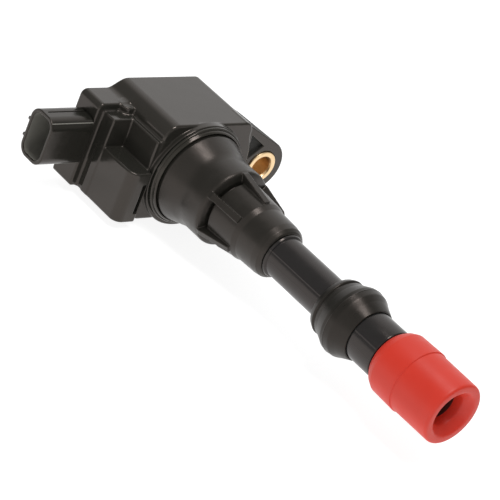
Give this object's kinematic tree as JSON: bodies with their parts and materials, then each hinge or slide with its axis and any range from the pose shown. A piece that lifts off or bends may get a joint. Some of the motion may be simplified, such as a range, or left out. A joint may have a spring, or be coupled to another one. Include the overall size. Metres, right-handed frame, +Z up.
{
  "type": "ignition coil",
  "caption": "Plug-top ignition coil: black potted head with a side connector and a bolt ear, ribbed tower, stem tube with rubber centring ring and red plug boot with a sprung contact.",
  "frame": {"origin": "bottom centre of the coil's box, lying on its side as drawn", "axes": "+X down the stem from the head to the plug end, +Y from the connector to the bolt ear, +Z up"},
  "size_m": [0.1394, 0.0768, 0.0328],
  "materials": {
    "moulded_case": "glossy black glass-filled plastic",
    "resin": "cast epoxy, smooth and dark",
    "moulded_connector": "glossy black moulding",
    "tinned_pin": "tin-plated copper alloy",
    "bushing_brass": "turned, bright",
    "core_steel": "laminated electrical steel",
    "magnet": "sintered, dull",
    "bobbin_plastic": "natural moulded plastic",
    "enamelled_copper": "enamelled copper wire, wound",
    "chip_package": "moulded chip package",
    "heat_sink": "pressed plate",
    "capacitor_film": "dipped film capacitor",
    "seal_rubber": "shiny black rubber",
    "moulded_tower": "satin warm black moulding",
    "contact_brass": "plated brass",
    "resistor_body": "ceramic-filled body",
    "tube_plastic": "cool dark grey, semi-gloss",
    "ring_rubber": "semi-gloss black rubber",
    "boot_silicone": "red silicone, satin",
    "spring_steel": "drawn stainless wire"
  },
  "bodies": {
    "coil": {"head_case": "moulded_case", "potting_resin": "resin", "connector_shroud": "moulded_connector", "terminal_pin_1": "tinned_pin", "terminal_pin_2": "tinned_pin", "terminal_pin_3": "tinned_pin", "bolt_bushing": "bushing_brass", "core_bar": "core_steel", "core_yoke": "core_steel", "bias_magnet": "magnet", "primary_bobbin": "bobbin_plastic", "primary_winding": "enamelled_copper", "secondary_bobbin": "bobbin_plastic", "secondary_winding_1": "enamelled_copper", "secondary_winding_2": "enamelled_copper", "secondary_winding_3": "enamelled_copper", "secondary_winding_4": "enamelled_copper", "igniter_module": "chip_package", "igniter_heat_sink": "heat_sink", "noise_capacitor": "capacitor_film", "well_seal": "seal_rubber", "tower_body": "moulded_tower", "output_terminal": "contact_brass", "suppression_resistor": "resistor_body", "resistor_cap_upper": "contact_brass", "resistor_cap_lower": "contact_brass", "stem_tube": "tube_plastic", "centring_ring": "ring_rubber", "plug_boot": "boot_silicone", "contact_spring": "spring_steel"},
    "contact": {"contact_cap": "contact_brass"}
  },
  "joints": [
    {"name": "contact_cap_slide", "type": "slide", "parent": "coil", "child": "contact", "axis": [-1, 0, 0], "range_m": [0, 0.006], "stiffness_N_per_m": 400, "deforming": ["contact_spring"]}
  ]
}
